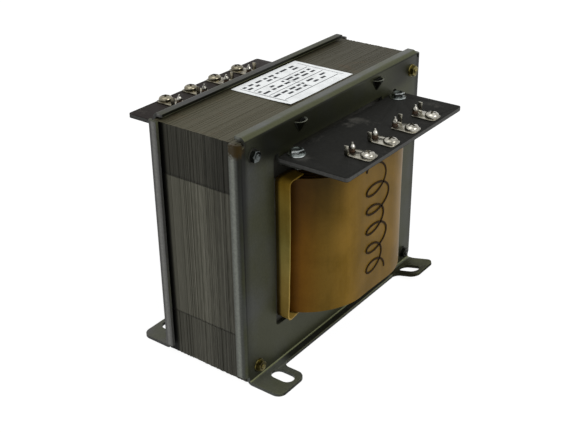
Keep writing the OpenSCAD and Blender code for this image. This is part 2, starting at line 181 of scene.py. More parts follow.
class FastenerLook(bpy.types.PropertyGroup):
    """Plated fasteners, terminals and boards."""

    pitch: length("Pitch", "Thread pitch of the screws", 0.8)
    cross: length("Cross", "Length of the cross recess", 4.2)
    board: colour("Board", "Black phenolic laminate", "#222220")
    board_dusty: colour("Dusty board", "Rear board under a film of dust", "#312d2b")
    board_edge: colour("Board edge", "Sawn edge of the laminate", "#4c4c4a")
    tin: colour("Tin", "Tin plate", "#adaa9e")
    nickel: colour("Nickel", "Nickel plate", "#bdbab0")
    tarnish: colour("Tarnish", "Dulled plate of the rear terminals", "#8d8775")
    zinc: colour("Zinc", "Bright zinc plate", "#aeb3b1")
    yellow: colour("Yellow zinc", "Yellow zinc plate", "#756c3c")
    black: colour("Black steel", "Oiled black nut", "#35352f")
    sleeve: colour("Sleeve", "Varnished sleeving", "#4d3119")


class StageLook(bpy.types.PropertyGroup):
    """Floor, light and camera."""

    ambient: number("Ambient", "Strength of the soft light all round", 0.42)
    key: number("Key", "Power of the large lamp at the right", 12.0)
    top: number("Top", "Power of the lamp overhead", 5.0)
    lift: number("Lift", "How much of the floor shows as plain white", 0.86)
    lens: number("Lens", "Focal length on a 36 mm wide frame", 60.6)
    azimuth: rotation("Azimuth", "Side the camera stands on", 36.77)
    elevation: rotation("Elevation", "Height angle of the camera", 27.71)
    roll: rotation("Roll", "Tilt of the camera's frame", -0.6)
    eye: FloatVectorProperty(
        name="Eye", description="Place of the camera", default=(0.29045, -0.39602, 0.31430), unit="LENGTH"
    )


def add(tree, kind, feeds=(), stops=(), **settings):
    """Adds a shader node, sets it, feeds it with values, nodes or sockets, and places its colour stops."""
    new = tree.nodes.new("ShaderNode" + kind)
    for key, value in settings.items():
        setattr(new, key, value)
    for socket, value in dict(feeds).items():
        if isinstance(value, bpy.types.Node):
            value = next(output for output in value.outputs if output.enabled)
        if isinstance(value, bpy.types.NodeSocket):
            tree.links.new(value, new.inputs[socket])
        else:
            new.inputs[socket].default_value = value
    for _ in stops[2:]:
        new.color_ramp.elements.new(1.0)
    for element, (place, shade) in zip(new.color_ramp.elements if stops else (), stops):
        element.position = place
        element.color = shade
    return new


def per(size_mm):
    """Pattern scale for features of a size in millimetres."""
    return 1000.0 / size_mm


def grey(value):
    """A grey colour stop."""
    return (value, value, value, 1.0)


# Settings of a Mix node that blends two colours, or that multiplies them
BLEND = {"data_type": "RGBA"}
TINT = {"data_type": "RGBA", "blend_type": "MULTIPLY"}
# Near-black brown of the painted shadows on the coil and the liners
PAINTED_SHADOW = linear("#140d03")


def begin(name):
    """Starts a material: the material, the function that adds its nodes, and its Object coordinates."""
    material = bpy.data.materials.new(name)
    material.use_nodes = True
    material.node_tree.nodes.clear()
    node = functools.partial(add, material.node_tree)
    return material, node, node("TexCoord").outputs["Object"]


def surface(material, relief=None, strength=0.1, depth_mm=0.1, invert=False, **feeds):
    """Ends a material with its shader, fed with colour, roughness and plain values and bumped by a relief."""
    node = functools.partial(add, material.node_tree)
    sockets = {key.replace("_", " ").title().replace("Ior", "IOR"): value for key, value in feeds.items()}
    if relief:
        bump = {"Height": relief, "Strength": strength, "Distance": depth_mm * MM}
        sockets["Normal"] = node("Bump", bump, invert=invert)
    node("OutputMaterial", {"Surface": node("BsdfPrincipled", sockets)})
    return material


def blued_steel(name, base, patch, crown, stain=None, stain_at=None, sheen=1.0):
    """Oiled dark sheet steel: satin grey with olive patches, and painted light: painted highlights on the
    flanges, their free edges, the tops, the ear and the pocket lips; painted shade in the bends, on the
    pockets and along the face; and painted dark reflections of the board on the face. Crown sets the painted
    light on the tops.
    """
    material, node, place = begin(name)
    spot = node("SeparateXYZ", {0: node("VectorMath", {0: place}, operation="ABSOLUTE")}).outputs
    side = node("SeparateXYZ", {0: place}).outputs["Y"]
    facing = node("VectorMath", {0: node("TexCoord").outputs["Normal"]}, operation="ABSOLUTE")
    turn = node("SeparateXYZ", {0: facing}).outputs
    bend = node("Math", {0: turn["X"], 1: turn["Y"]}, operation="MULTIPLY")
    bend = node("Math", {0: bend, 1: turn["X"]}, operation="MULTIPLY")
    fold = node("Math", {0: turn["X"], 1: turn["Z"]}, operation="MULTIPLY")
    brow = node("VectorMath", {0: facing, 1: (0.95, 0.0, 0.31)}, operation="DOT_PRODUCT")
    masks = {
        mask: node("MapRange", {"Value": value, "From Min": start, "From Max": end},
                   interpolation_type="SMOOTHSTEP")
        for mask, value, start, end in (
            # Ways that the faces look
            ("face", turn["X"], 0.9, 1.0),
            ("flange", turn["Y"], 0.66, 1.0),
            ("top", turn["Z"], 0.8, 1.0),
            ("bend", bend, 0.04, 0.34),
            ("fold", fold, 0.2, 0.42),
            ("brow", brow, 0.982, 0.997),
            # Depths from the middle of the core
            ("rim", spot["X"], 24 * MM, 23 * MM),
            ("rib", spot["X"], 22.2 * MM, 25 * MM),
            ("curl", spot["X"], 25.2 * MM, 26.8 * MM),
            ("proud", spot["X"], FACE_X + 0.3 * MM, FACE_X + 1.2 * MM),
            # Heights
            ("brink", spot["Z"], 3 * MM, 2 * MM),
            ("low", spot["Z"], 16 * MM, 9 * MM),
            ("upper", spot["Z"], 0.0, FRAME_HIGH.z),
            ("high", spot["Z"], BOARD_LOW.z, BOARD_HIGH.z + 5 * MM),
            ("crest", spot["Z"], CORE_HIGH.z + 1.3 * MM, CORE_HIGH.z + 1.5 * MM),
            # Places across the frame
            ("ear", spot["Y"], 48 * MM, 58 * MM),
            ("inner", spot["Y"], 84 * MM, 62 * MM),
            ("verge", spot["Y"], 76.5 * MM, 81 * MM),
            ("left", side, 66 * MM, -70 * MM),
            ("right", side, 40 * MM, 62 * MM),
        )
    }
    # Painted light: each share below lightens or darkens the colour where all of its masks meet.
    light = 1.0
    for share, *names in (
        (0.2, "flange"), (1.3, "flange", "rib"), (-1.6, "flange", "curl"), (crown, "top"),
        (-0.22, "bend"), (-0.6, "bend", "upper"), (-0.4, "brow"),
        (-0.42, "face", "left"), (-0.42, "face", "high", "inner"),
        (-0.1, "face", "verge"), (-0.45, "face", "verge", "upper"), (1.6, "face", "rim"),
        (-0.36, "face", "right"), (-0.75, "proud", "high"), (1.3, "proud", "high", "top"),
        (-2.2, "face", "crest"), (-0.6, "face", "brink"),
        (-0.8, "top", "low"), (1.6, "top", "low", "ear"), (1.2, "fold", "low"),
    ):
        product = masks[names[0]]
        for mask in names[1:]:
            product = node("Math", {0: product, 1: masks[mask]}, operation="MULTIPLY")
        light = node("Math", {0: product, 1: share, 2: light}, operation="MULTIPLY_ADD")
    light = node("Math", {0: light, 1: 0.12}, operation="MAXIMUM")
    clouds = node("TexNoise", {"Vector": place, "Scale": per(34), "Detail": 4.0, "Roughness": 0.55})
    blend = clouds
    oily = node("Math", {0: masks["inner"], 1: masks["face"]}, operation="MULTIPLY")
    for mask, share in ((oily, 0.22), (masks["flange"], -0.25), (masks["fold"], 0.3)):
        blend = node("Math", {0: mask, 1: share, 2: blend}, operation="MULTIPLY_ADD")
    tone = node("ValToRGB", {"Fac": blend}, stops=((0.42, base), (0.7, patch)))
    grain = node("TexNoise", {"Vector": place, "Scale": per(1.1), "Detail": 3.0})
    rough = node("MapRange", {"Value": masks["flange"], "To Min": 0.88, "To Max": 0.8})
    fleck = node("MapRange", {"Value": grain, "From Min": 0.3, "From Max": 0.7,
                              "To Min": rough, "To Max": 1.08})
    lit = node("Math", {0: light, 1: fleck}, operation="MULTIPLY")
    tint = node("Mix", {0: 1.0, 6: tone, 7: lit}, **TINT)
    if stain_at:
        far = node("VectorMath", {0: place, 1: stain_at}, operation="DISTANCE")
        ragged = node("Math", {0: grain, 1: 5 * MM, 2: far}, operation="MULTIPLY_ADD")
        near = node("MapRange", {"Value": ragged, "From Min": 8 * MM, "From Max": 5.5 * MM, "To Max": 0.92})
        tint = node("Mix", {0: near, 6: tint, 7: stain}, **BLEND)
    satin = node("MapRange", {"Value": clouds, "To Min": 0.34, "To Max": 0.52})
    return surface(material, grain, base_color=tint, roughness=satin, metallic=0.5,
                   specular_ior_level=0.15, specular_tint=grey(sheen))


def lamination_edges(look):
    """Stacked sheet edges under thin varnish: streaky ends, a calm brown top, dark joint lines, and painted
    shade on the ends by depth.
    """
    material, node, place = begin("Varnished lamination edges")
    spot = node("SeparateXYZ", {0: place}).outputs
    facing = node("SeparateXYZ", {0: node("TexCoord").outputs["Normal"]}).outputs
    top = node("MapRange", {"Value": facing["Z"], "From Min": 0.6, "From Max": 0.8})
    tone = node("Attribute", attribute_name="sheet_tone").outputs["Fac"]
    stretch = node("Mapping", {"Vector": place, "Scale": (per(0.7), per(30), per(9))})
    streak = node("TexNoise", {"Vector": stretch, "Scale": 1.0, "Detail": 4.0, "Roughness": 0.6,
                               "Distortion": 0.4})
    wide = node("Mapping", {"Vector": place, "Scale": (per(9), per(60), per(60))})
    band = node("TexNoise", {"Vector": wide, "Scale": 1.0, "Detail": 1.0})
    lively = node("MapRange", {"Value": spot["X"], "From Min": CORE_LOW.x + 8 * MM, "From Max": 0.0,
                               "To Min": 0.16, "To Max": 0.5})
    calm = node("MapRange", {"Value": top, "To Min": 1.0, "To Max": 0.26})
    span = node("Math", {0: lively, 1: calm}, operation="MULTIPLY")
    both = node("Math", {0: tone, 1: 0.45, 2: streak}, operation="MULTIPLY_ADD")
    both = node("Math", {0: band, 1: 0.3, 2: both}, operation="MULTIPLY_ADD")
    swing = node("Math", {0: both, 1: -0.875}, operation="ADD")
    value = node("Math", {0: swing, 1: span, 2: 0.5}, operation="MULTIPLY_ADD")
    shade = node("ValToRGB", {"Fac": value}, stops=((0.2, look.dark), (0.5, look.plain), (0.86, look.bright)))
    brown = node("Math", {0: top, 1: 0.7}, operation="MULTIPLY")
    tint = node("Mix", {0: brown, 6: shade, 7: look.top}, **BLEND)
    upper, lower = CORE_HIGH.z - LEG, CORE_LOW.z + LEG
    heights = (
        (CORE_LOW.z, 0.8), (lower - 0.5 * MM, 0.76), (lower - 0.1 * MM, 0.5), (lower + 0.4 * MM, 0.5),
        (lower + 0.8 * MM, 1.1), (upper - 0.7 * MM, 1.2), (upper - 0.4 * MM, 0.34), (upper + 0.5 * MM, 0.34),
        (upper + 0.9 * MM, 0.46), (CORE_HIGH.z - 2 * MM, 0.5),
    )
    rise = node("MapRange", {"Value": spot["Z"], "From Min": CORE_LOW.z, "From Max": CORE_HIGH.z})
    yoke = node("ValToRGB", {"Fac": rise}, stops=tuple(
        (max(0.0, (z - CORE_LOW.z) / CORE_SIZE.z), grey(value)) for z, value in heights
    ))
    # Painted shade on the ends by depth: a painted shadow beside the rear frame's flange, lighter in the
    # middle, darker towards the front frame.
    depth = node("MapRange", {"Value": spot["X"], "From Min": CORE_LOW.x, "From Max": CORE_HIGH.x})
    sides = node("ValToRGB", {"Fac": depth}, stops=(
        (0.105, grey(0.04)), (0.135, grey(0.95)), (0.5, grey(1.12)), (0.75, grey(0.74)), (0.88, grey(0.66)),
    ))
    yoke = node("Mix", {0: 1.0, 6: yoke, 7: sides}, **TINT)
    dull = node("MapRange", {"Value": spot["Y"], "From Min": -30 * MM, "From Max": 60 * MM,
                             "To Min": 0.76, "To Max": 0.5})
    flat = node("Mix", {0: top, 6: yoke, 7: dull}, **BLEND)
    dim = node("Mix", {0: 1.0, 6: tint, 7: flat}, **TINT)
    rust = node("TexNoise", {"Vector": place, "Scale": per(15), "Detail": 4.0, "Roughness": 0.65})
    spread = node("MapRange", {"Value": rust, "From Min": 0.58, "From Max": 0.8, "To Max": 0.5})
    rusty = node("Math", {0: spread, 1: top}, operation="MULTIPLY")
    final = node("Mix", {0: rusty, 6: dim, 7: look.rust}, **BLEND)
    satin = node("MapRange", {"Value": streak, "To Min": 0.45, "To Max": 0.65})
    return surface(material, base_color=final, roughness=satin, metallic=0.4, specular_ior_level=0.15)


def soaked_paper(name, pale, dark, gloss, root=None, shade=None):
    """Kraft or fish paper soaked in varnish: warm satin brown with clouds, upright bands and soft cockles,
    and painted light: painted shade by the way it faces and under the board, and a painted shadow inside the
    frame's window.
    """
    material, node, place = begin(name)
    clouds = node("TexNoise", {"Vector": place, "Scale": per(24), "Detail": 3.0, "Distortion": 0.4})
    lay = node("Mapping", {"Vector": place, "Scale": (per(7), per(7), per(70))})
    band = node("TexNoise", {"Vector": lay, "Scale": 1.0, "Detail": 3.0, "Roughness": 0.6})
    blend = node("Math", {0: band, 1: 0.5, 2: -0.25}, operation="MULTIPLY_ADD")
    blend = node("Math", {0: clouds, 1: blend}, operation="ADD")
    tone = node("ValToRGB", {"Fac": blend}, stops=((0.3, dark), (0.64, pale)))
    fibre = node("TexNoise", {"Vector": place, "Scale": per(1.4), "Detail": 4.0, "Roughness": 0.7})
    fleck = node("MapRange", {"Value": fibre, "From Min": 0.25, "From Max": 0.75,
                              "To Min": 0.92, "To Max": 1.07})
    tint = node("Mix", {0: 1.0, 6: tone, 7: fleck}, **TINT)
    if shade:
        # Painted light by the way the paper faces: painted shade on the side away from the light, with
        # lighter and darker bands across the front.
        facing = node("SeparateXYZ", {0: node("TexCoord").outputs["Normal"]}).outputs["Y"]
        turn = node("MapRange", {"Value": facing, "From Min": -1.0})
        dim = node("ValToRGB", {"Fac": turn}, stops=(
            (0.02, shade), (0.07, linear("#cdb365")), (0.16, linear("#c7c3a8")), (0.2, linear("#c7c7b6")),
            (0.28, grey(0.82)), (0.35, grey(0.96)), (0.48, grey(0.74)),
        ))
        tint = node("Mix", {0: 1.0, 6: tint, 7: dim}, **TINT)
        # Painted shadow of the board over the upper part of the coil's shaded side.
        height = node("SeparateXYZ", {0: place}).outputs["Z"]
        dusk = node("MapRange", {"Value": height, "From Min": COIL_HIGH.z - 38 * MM,
                                 "From Max": COIL_HIGH.z - 4 * MM, "To Max": 0.58})
        aside = node("MapRange", {"Value": turn, "From Min": 0.5, "From Max": 0.2})
        amount = node("Math", {0: dusk, 1: aside}, operation="MULTIPLY")
        tint = node("Mix", {0: amount, 6: tint, 7: PAINTED_SHADOW}, **BLEND)
    if root:
        # Painted shadow on the liner where it goes into the frame's window.
        size = node("VectorMath", {0: place}, operation="ABSOLUTE")
        depth = node("SeparateXYZ", {0: size}).outputs["X"]
        deep = node("MapRange", {"Value": depth, "From Min": root + 1.2 * MM, "From Max": root - 0.4 * MM,
                                 "To Max": 0.85})
        darkened = node("Mix", {0: deep, 6: tint, 7: PAINTED_SHADOW}, **BLEND)
        # Lighter and warmer at the bottom, darker and more orange at the top: painted shade under the board,
        # with a hue that changes with height.
        height = node("SeparateXYZ", {0: place}).outputs["Z"]
        rise = node("MapRange", {"Value": height, "From Min": LINER_LOW.z, "From Max": LINER_HIGH.z})
        hue_and_shade = node("ValToRGB", {"Fac": rise}, stops=(
            (0.2, (1.12, 0.98, 0.8, 1.0)), (0.55, (0.98, 1.05, 0.98, 1.0)), (0.97, (0.82, 0.66, 0.26, 1.0)),
        ))
        tint = node("Mix", {0: 1.0, 6: darkened, 7: hue_and_shade}, **TINT)
    satin = node("MapRange", {"Value": fibre, "To Min": gloss - 0.08, "To Max": gloss + 0.1})
    return surface(material, fibre, 0.12, 0.15, base_color=tint, roughness=satin, specular_ior_level=0.08)


def phenolic(name, base):
    """Black paper phenolic sheet: satin, a faint pressing weave, dust and pale scuffs."""
    material, node, place = begin(name)
    weave = node("TexNoise", {"Vector": place, "Scale": per(1.6), "Detail": 4.0, "Roughness": 0.65})
    scuff = node("TexNoise", {"Vector": place, "Scale": per(14), "Detail": 5.0, "Roughness": 0.7})
    rub = node("MapRange", {"Value": scuff, "From Min": 0.6, "From Max": 0.78, "To Max": 0.4})
    dusty = node("Mix", {0: rub, 6: base, 7: linear("#6c6a64")}, **BLEND)
    fleck = node("ValToRGB", {"Fac": weave}, stops=((0.3, grey(0.8)), (0.7, grey(1.2))))
    tint = node("Mix", {0: 1.0, 6: dusty, 7: fleck}, **TINT)
    satin = node("MapRange", {"Value": scuff, "To Min": 0.5, "To Max": 0.7})
    return surface(material, weave, 0.15, 0.08, base_color=tint, roughness=satin, specular_ior_level=0.04)


def plated(name, shade, tarnish, gloss, grain_mm=1.4):
    """Plated metal: bright and smooth with cloudy tarnish and faint handling marks."""
    material, node, place = begin(name)
    clouds = node("TexNoise", {"Vector": place, "Scale": per(grain_mm * 2.2), "Detail": 4.0})
    tint = node("ValToRGB", {"Fac": clouds}, stops=((0.34, tarnish), (0.6, shade)))
    grain = node("TexNoise", {"Vector": place, "Scale": per(grain_mm), "Detail": 3.0})
    satin = node("MapRange", {"Value": clouds, "To Min": gloss + 0.14, "To Max": gloss - 0.06})
    return surface(material, grain, base_color=tint, roughness=satin, metallic=1.0)


def braided(name, shade):
    """Varnished braided sleeving: matt brown with a fine crossed weave."""
    material, node, place = begin(name)
    turn = node("Mapping", {"Vector": place, "Rotation": (0.0, math.radians(45), math.radians(45))})
    weave = node("TexVoronoi", {"Vector": turn, "Scale": per(0.6)})
    tint = node("ValToRGB", {"Fac": weave}, stops=((0.1, shade), (0.75, linear("#21150b"))))
    return surface(material, weave, 0.4, 0.1, True, base_color=tint, roughness=0.55)


def coated_paper(name, shade, speck_mm, gloss, sheen=1.0):
    """Coated label stock or dried ink: even and faintly mottled."""
    material, node, place = begin(name)
    mottle = node("TexNoise", {"Vector": place, "Scale": per(speck_mm), "Detail": 4.0})
    dull = tuple(c * 0.86 for c in shade[:3]) + (1.0,)
    tint = node("ValToRGB", {"Fac": mottle}, stops=((0.3, dull), (0.55, tuple(shade))))
    return surface(material, mottle, 0.08, 0.05, base_color=tint, roughness=gloss,
                   specular_ior_level=0.15, specular_tint=grey(sheen))


def deselect():
    """Leaves edit mode and deselects everything."""
    if bpy.context.mode != "OBJECT":
        bpy.ops.object.mode_set(mode="OBJECT")
    bpy.ops.object.select_all(action="DESELECT")


def only(*pieces):
    """Selects these objects alone, the first one active."""
    deselect()
    for piece in pieces:
        piece.select_set(True)
    bpy.context.view_layer.objects.active = pieces[0]
    return pieces[0]


@contextlib.contextmanager
def editing(piece):
    """Edit mode on one object, with everything selected."""
    only(piece)
    bpy.ops.object.mode_set(mode="EDIT")
    bpy.ops.mesh.select_all(action="SELECT")
    yield
    bpy.ops.object.mode_set(mode="OBJECT")


def pick(piece, kind, test):
    """In edit mode, selects the vertices, edges or faces whose middle passes a test."""
    bpy.ops.mesh.select_mode(type=kind)
    bpy.ops.mesh.select_all(action="DESELECT")
    mesh = bmesh.from_edit_mesh(piece.data)
    found = False
    for item in {"VERT": mesh.verts, "EDGE": mesh.edges, "FACE": mesh.faces}[kind]:
        points = [item.co] if kind == "VERT" else [vertex.co for vertex in item.verts]
        if test(sum(points, Vector()) / len(points)):
            item.select_set(True)
            found = True
    if not found:
        raise RuntimeError(f"{piece.name}: nothing to pick among its {kind.lower()} items")
    bmesh.update_edit_mesh(piece.data)


def split(*planes):
    """In edit mode, cuts the whole mesh along planes given as a point and a normal."""
    for point, normal in planes:
        bpy.ops.mesh.select_all(action="SELECT")
        bpy.ops.mesh.bisect(plane_co=point, plane_no=normal)


def mend(piece):
    """Merges doubles and points all faces outwards."""
    with editing(piece):
        bpy.ops.mesh.remove_doubles(threshold=0.002 * MM)
        bpy.ops.mesh.normals_make_consistent(inside=False)
    return piece


def modify(piece, kind, **settings):
    """Adds a modifier and applies it."""
    only(piece)
    modifier = piece.modifiers.new(kind.title(), kind)
    for key, value in settings.items():
        setattr(modifier, key, value)
    bpy.ops.object.modifier_apply(modifier=modifier.name)
    return piece


def carve(piece, tool, operation="DIFFERENCE"):
    """Cuts a piece with a tool, which is used up."""
    modify(piece, "BOOLEAN", object=tool, operation=operation, solver="EXACT")
    bpy.data.objects.remove(tool)
    return piece


def soften(piece, width, segments=2, **settings):
    """Rounds the sharp edges of a piece."""
    return modify(
        piece, "BEVEL", width=width, segments=segments, limit_method="ANGLE",
        angle_limit=math.radians(38), use_clamp_overlap=False, **settings,
    )


def moved(piece, matrix):
    """Moves a piece's mesh, and turns its faces back if the move mirrors it."""
    piece.data.transform(matrix)
    if matrix.determinant() < 0:
        piece.data.flip_normals()
    return piece


def placed(name, data):
    """A new object in the scene."""
    new = bpy.data.objects.new(name, data)
    bpy.context.scene.collection.objects.link(new)
    return new


def duplicate(piece, matrix=Matrix.Identity(4)):
    """A copy of a piece with its own mesh, moved."""
    return moved(placed(piece.name, piece.data.copy()), matrix)


def weld(*pieces):
    """Joins pieces into the first one."""
    only(*pieces)
    bpy.ops.object.join()
    return pieces[0]


def block(low, high):
    """A box between two corners."""
    deselect()
    bpy.ops.mesh.primitive_cube_add(size=1)
    low, high = Vector(low), Vector(high)
    return moved(bpy.context.object, Matrix.LocRotScale((low + high) / 2, None, high - low))


def turned(profile, sides=32):
    """A solid turned on Z: a disc extruded through pairs of radius and height, upwards."""
    deselect()
    radius, height = profile[0]
    bpy.ops.mesh.primitive_circle_add(vertices=sides, radius=radius, fill_type="NGON")
    piece = moved(bpy.context.object, Matrix.Translation((0, 0, height)))
    with editing(piece):
        bpy.ops.mesh.select_mode(type="FACE")
        bpy.ops.mesh.select_all(action="SELECT")
        for next_radius, next_height in profile[1:]:
            bpy.ops.mesh.extrude_region_move(TRANSFORM_OT_translate={"value": (0, 0, next_height - height)})
            share = next_radius / radius
            bpy.ops.transform.resize(value=(share, share, 1), center_override=(0, 0, next_height))
            radius, height = next_radius, next_height
    return mend(piece)


def thread(radius, low, high, pitch):
    """Profile of a threaded shank with a pointed end, from its low end up."""
    depth = 0.16 * pitch
    turns = int((high - low) / pitch - 0.5)
    profile = [(radius - 2.5 * depth, low)]
    for turn in range(turns):
        profile.append((radius, low + (turn + 0.55) * pitch))
        profile.append((radius - 2 * depth, low + (turn + 1.0) * pitch))
    return profile + [(radius, high)]


def dressed(piece, name, slot, nodes, *finishes, angle=32):
    """Names a finished piece, gives it its finishes and smooth faces, and puts it in place of its nodes."""
    piece.name = piece.data.name = name
    slots = piece.data.materials
    for index, finish in enumerate(finishes):
        if index < len(slots):
            slots[index] = finish
        else:
            slots.append(finish)
    only(piece)
    bpy.ops.object.shade_smooth_by_angle(angle=math.radians(angle))
    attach(piece, BODY)
    if nodes:
        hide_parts(*nodes)
    return piece


def from_node(node):
    """A merged copy of a CAD node with its flat faces joined."""
    piece = placed(node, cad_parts[node].data.copy())
    with editing(piece):
        bpy.ops.mesh.remove_doubles(threshold=0.001 * MM)
        bpy.ops.mesh.dissolve_limited(angle_limit=math.radians(0.6))
        bpy.ops.mesh.customdata_custom_splitnormals_clear()
    return piece


def paper(columns, rows, thickness, shape):
    """A sheet of paper: a flat grid shaped by a function of two shares from 0 to 1, given its thickness."""
    deselect()
    bpy.ops.mesh.primitive_grid_add(x_subdivisions=columns, y_subdivisions=rows, size=1)
    sheet = bpy.context.object
    for vertex in sheet.data.vertices:
        vertex.co = shape(vertex.co.x + 0.5, vertex.co.y + 0.5)
    modify(sheet, "SOLIDIFY", thickness=thickness, offset=-1)
    return mend(sheet)


def lamination(low, high, thickness, windows=()):
    """One core sheet in Y and Z, with windows bisected and cut out, and its thickness along X."""
    deselect()
    bpy.ops.mesh.primitive_plane_add(size=1)
    sheet = bpy.context.object
    upright = Matrix.Rotation(math.pi / 2, 4, "Z") @ Matrix.Rotation(math.pi / 2, 4, "X")
    size = (high[0] - low[0], high[1] - low[1])
    centre = (0, (low[0] + high[0]) / 2, (low[1] + high[1]) / 2)
    moved(sheet, Matrix.Translation(centre) @ upright @ Matrix.Diagonal((size[0], size[1], 1, 1)))
    with editing(sheet):
        for left, right, foot, head in windows:
            split(*(((0, y, 0), (0, 1, 0)) for y in (left, right)))
            split(*(((0, 0, z), (0, 0, 1)) for z in (foot, head) if low[1] < z < high[1]))
        for left, right, foot, head in windows:
            pick(sheet, "FACE", lambda at: left < at.y < right and foot < at.z < head)
            bpy.ops.mesh.delete(type="FACE")
        bpy.ops.mesh.select_all(action="SELECT")
        bpy.ops.mesh.extrude_region_move(TRANSFORM_OT_translate={"value": (thickness, 0, 0)})
    return mend(sheet)


class TRANSFORMER_OT_core(bpy.types.Operator):
    """Stacks the E and I sheets of the core, turned end for end in turn and a little out of line"""

    bl_idname = "transformer.core"
    bl_label = "Stack core"

    def execute(self, context):
        look = context.scene.transformer_core
        draw = random.Random(look.seed)
        foot, head = CORE_LOW.z, CORE_HIGH.z
        side = CORE_SIZE.y / 2
        windows = [(s * 1.5 * LEG - LEG / 2, s * 1.5 * LEG + LEG / 2, foot, head - LEG) for s in (-1, 1)]
        count = round(CORE_SIZE.x / look.sheet)
        thickness = CORE_SIZE.x / count
        e_sheet = lamination((-side, foot + LEG + look.joint), (side, head), thickness * 1.001, windows)
        i_sheet = lamination((-side, foot), (side, foot + LEG), thickness * 1.001)
        over = Matrix.Translation((0, 0, foot + head)) @ Matrix.Diagonal((1, 1, -1, 1))
        sheets = []
        for index in range(count):
            shift = Vector((CORE_LOW.x + index * thickness, 0, 0))
            for blank in (e_sheet, i_sheet):
                stray = Vector((0, draw.uniform(-1, 1), draw.uniform(-1, 0))) * look.stagger
                turn = over if index % 2 else Matrix.Identity(4)
                sheet = duplicate(blank, Matrix.Translation(shift + stray) @ turn)
                tone = sheet.data.attributes.new("sheet_tone", "FLOAT", "POINT")
                tone.data.foreach_set("value", [draw.random()] * len(sheet.data.vertices))
                sheets.append(sheet)
        bpy.data.objects.remove(e_sheet)
        bpy.data.objects.remove(i_sheet)
        core = weld(*sheets)
        dressed(core, "core_stack", "core_steel", LAMINATIONS, lamination_edges(look), angle=20)
        return {"FINISHED"}


class TRANSFORMER_OT_frames(bpy.types.Operator):
    """Rounds the edges of the pressed end frames and bends up the damaged front ear"""

    bl_idname = "transformer.frames"
    bl_label = "Dress end frames"

    def execute(self, context):
        look = context.scene.transformer_frame
        stain_at = (FACE_X - 3 * MM, FRAME_LOW.y + 1 * MM, FRAME_HIGH.z - 5 * MM)
        oiled = blued_steel("Oiled blued sheet steel", look.grey, look.olive, 0.22, look.stain, stain_at)
        clean = blued_steel("Blued sheet steel", look.blue, look.olive, -0.25, sheen=0.7)
        pale_edge = blued_steel("Pale steel edge", look.pale_edge, look.grey, 0.22)
        ear_steel = blued_steel("Soiled blued steel", look.darkened, look.olive, 0.0, sheen=0.15)
        steel = {"front": (oiled, pale_edge, ear_steel), "rear": (clean, pale_edge)}
        for end in ENDS:
            node = end + "_end_frame"
            piece = from_node(node)
            if end == "front":
                self.bend_ear(piece, look.ear_lift)
            # The rounded edges get the paler steel.
            soften(piece, look.edge, material=1)
            # Faces of the bent ear get the darker steel with a duller reflection.
            for face in piece.data.polygons if end == "front" else ():
                x, y, z = face.center
                if x > EAR_CREASE and y > EAR_IN and z < EAR_BENT:
                    face.material_index = 2
            dressed(piece, end + "_pressed_frame", "frame_steel", [node], *steel[end])
            modify(piece, "WEIGHTED_NORMAL", keep_sharp=True)
        return {"FINISHED"}

    def bend_ear(self, piece, lift):
        """Bends the right ear up in a few small folds along the frame."""
        folds = 4
        step = 1.2 * MM
        with editing(piece):
            lines = [EAR_CREASE + index * step for index in range(folds)]
            split(*(((x, 0, 0), (1, 0, 0)) for x in lines), ((0, EAR_IN, 0), (0, 1, 0)))
            for x in lines:
                pick(piece, "VERT", lambda at: at.x > x - SLACK and at.y > EAR_IN and at.z < EAR_FLAT)
                bpy.ops.transform.rotate(value=lift / folds, orient_axis="Y", center_override=(x, 0, 0))


def wound(inset, share):
    """Point and outward direction on the coil's outside, inset, at a share of the way round from the rear."""
    half_x, half_y = COIL_HIGH.x - inset, COIL_HIGH.y - inset
    radius = min(COIL_CORNER - inset, half_x, half_y)
    flat_x, flat_y = half_x - radius, half_y - radius
    arc = math.pi / 2 * radius
    run = (share % 1.0) * (4 * flat_x + 4 * flat_y + 4 * arc) + flat_y
    quarter = 0
    while True:
        angle = math.pi - quarter * math.pi / 2
        reach, flat = (half_y, flat_x) if quarter % 2 else (half_x, flat_y)
        out = Vector((round(math.cos(angle)), round(math.sin(angle)), 0))
        along = Vector((out.y, -out.x, 0))
        if run < 2 * flat:
            return out * reach + along * (run - flat), out
        run -= 2 * flat
        if run < arc:
            angle -= run / radius
            lean = Vector((math.cos(angle), math.sin(angle), 0))
            return out * (reach - radius) + along * flat + lean * radius, lean
        run -= arc
        quarter += 1


def around(inset):
    """Length of the way round the coil."""
    radius = COIL_CORNER - inset
    return 4 * (COIL_HIGH.x + COIL_HIGH.y - 2 * inset - 2 * radius) + 2 * math.pi * radius


def wound_sheet(inset, low, high, thickness, lap, ripple, columns=220, rows=26):
    """A sheet of paper wound once round the coil and lapped over its own start."""
    total = 1 + lap / around(inset)

    def shape(share, rise):
        """Place on the coil at shares of the way round and up."""
        share *= total
        point, out = wound(inset, share)
        over = max(0.0, min(1.0, (share - 0.97) / 0.03)) * thickness * 1.1
        z = low + (high - low) * rise
        wave = noise.noise(Vector((point.x, point.y, z * 0.6)) * per(30))
        edge = noise.noise(Vector((point.x, point.y, 0.5 * rise)) * per(16)) * ripple * abs(2 * rise - 1)
        return point + out * (over + ripple * (wave - 0.6)) + Vector((0, 0, z + edge - ripple))

    return paper(columns, rows, thickness, shape)


